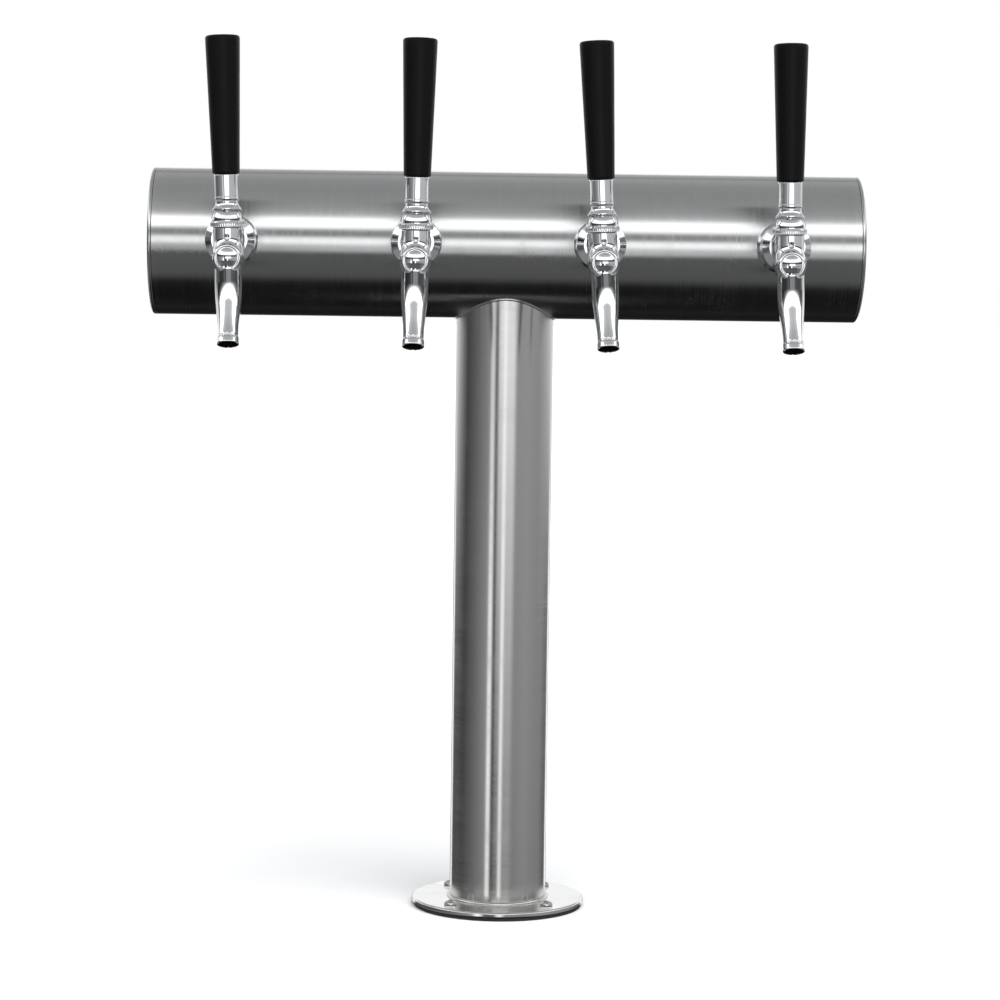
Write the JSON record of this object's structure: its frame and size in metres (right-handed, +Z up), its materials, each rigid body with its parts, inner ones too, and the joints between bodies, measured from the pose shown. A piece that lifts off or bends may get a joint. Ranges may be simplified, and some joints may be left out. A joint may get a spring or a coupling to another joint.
{
  "type": "beer tap tower",
  "caption": "T-shaped draft beer tower: brushed steel cross tube on a flanged column, with chrome rear-seal faucets and tapered black tap handles.",
  "frame": {"origin": "on the column's centre line, in the plane where the base gasket meets the counter top", "axes": "+Z up along the column, +X along the cross tube to the right as the faucets are seen from the front, faucets face -Y"},
  "size_m": [0.55, 0.2121, 0.6926],
  "materials": {
    "brushed_steel": "brushed stainless steel tube, fine grain, satin",
    "polished_steel": "polished stainless steel plate and screw heads",
    "chrome": "bright chrome plate",
    "plain_steel": "machined stainless steel",
    "brass": "machined brass",
    "black_knob": "moulded black plastic, semi-gloss",
    "black_rubber": "matt black rubber sheet",
    "grey_foam": "closed-cell foam sleeve",
    "beer_line": "milky clear vinyl hose"
  },
  "bodies": {
    "tower": {"column": "brushed_steel", "cross_tube": "brushed_steel", "end_cap_left": "brushed_steel", "end_cap_right": "brushed_steel", "base_flange": "polished_steel", "base_gasket": "black_rubber", "flange_screw_1": "polished_steel", "flange_screw_2": "polished_steel", "flange_screw_3": "polished_steel", "flange_screw_4": "polished_steel", "insulation_sleeve": "grey_foam", "shank_1": "chrome", "shank_collar_1": "chrome", "shank_locknut_1": "brass", "tailpiece_1": "plain_steel", "beer_line_1": "beer_line", "coupling_nut_1": "chrome", "faucet_body_1": "chrome", "bonnet_1": "chrome", "shank_2": "chrome", "shank_collar_2": "chrome", "shank_locknut_2": "brass", "tailpiece_2": "plain_steel", "beer_line_2": "beer_line", "coupling_nut_2": "chrome", "faucet_body_2": "chrome", "bonnet_2": "chrome", "shank_3": "chrome", "shank_collar_3": "chrome", "shank_locknut_3": "brass", "tailpiece_3": "plain_steel", "beer_line_3": "beer_line", "coupling_nut_3": "chrome", "faucet_body_3": "chrome", "bonnet_3": "chrome", "shank_4": "chrome", "shank_collar_4": "chrome", "shank_locknut_4": "brass", "tailpiece_4": "plain_steel", "beer_line_4": "beer_line", "coupling_nut_4": "chrome", "faucet_body_4": "chrome", "bonnet_4": "chrome"},
    "handle_1": {"lever_1": "chrome", "ferrule_1": "chrome", "knob_1": "black_knob"},
    "valve_1": {"valve_shaft_1": "plain_steel"},
    "handle_2": {"lever_2": "chrome", "ferrule_2": "chrome", "knob_2": "black_knob"},
    "valve_2": {"valve_shaft_2": "plain_steel"},
    "handle_3": {"lever_3": "chrome", "ferrule_3": "chrome", "knob_3": "black_knob"},
    "valve_3": {"valve_shaft_3": "plain_steel"},
    "handle_4": {"lever_4": "chrome", "ferrule_4": "chrome", "knob_4": "black_knob"},
    "valve_4": {"valve_shaft_4": "plain_steel"}
  },
  "joints": [
    {"name": "handle_tilt_1", "type": "hinge", "parent": "tower", "child": "handle_1", "pos_m": [-0.20998, -0.108, 0.53499], "axis": [0.9995, 0, 0.0332], "range_deg": [0, 35]},
    {"name": "valve_slide_1", "type": "slide", "parent": "tower", "child": "valve_1", "axis": [0, 1, 0], "range_m": [0, 0.0087]},
    {"name": "handle_tilt_2", "type": "hinge", "parent": "tower", "child": "handle_2", "pos_m": [-0.06969, -0.108, 0.535], "axis": [0.9999, 0, -0.0122], "range_deg": [0, 35]},
    {"name": "valve_slide_2", "type": "slide", "parent": "tower", "child": "valve_2", "axis": [0, 1, 0], "range_m": [0, 0.0087]},
    {"name": "handle_tilt_3", "type": "hinge", "parent": "tower", "child": "handle_3", "pos_m": [0.06924, -0.108, 0.53499], "axis": [0.9989, 0, 0.0471], "range_deg": [0, 35]},
    {"name": "valve_slide_3", "type": "slide", "parent": "tower", "child": "valve_3", "axis": [0, 1, 0], "range_m": [0, 0.0087]},
    {"name": "handle_tilt_4", "type": "hinge", "parent": "tower", "child": "handle_4", "pos_m": [0.20937, -0.108, 0.535], "axis": [0.9999, 0, 0.014], "range_deg": [0, 35]},
    {"name": "valve_slide_4", "type": "slide", "parent": "tower", "child": "valve_4", "axis": [0, 1, 0], "range_m": [0, 0.0087]}
  ],
  "couplings": [
    {"joint": "valve_slide_1", "follows": "handle_tilt_1", "m_per_rad": 0.014},
    {"joint": "valve_slide_2", "follows": "handle_tilt_2", "m_per_rad": 0.014},
    {"joint": "valve_slide_3", "follows": "handle_tilt_3", "m_per_rad": 0.014},
    {"joint": "valve_slide_4", "follows": "handle_tilt_4", "m_per_rad": 0.014}
  ]
}
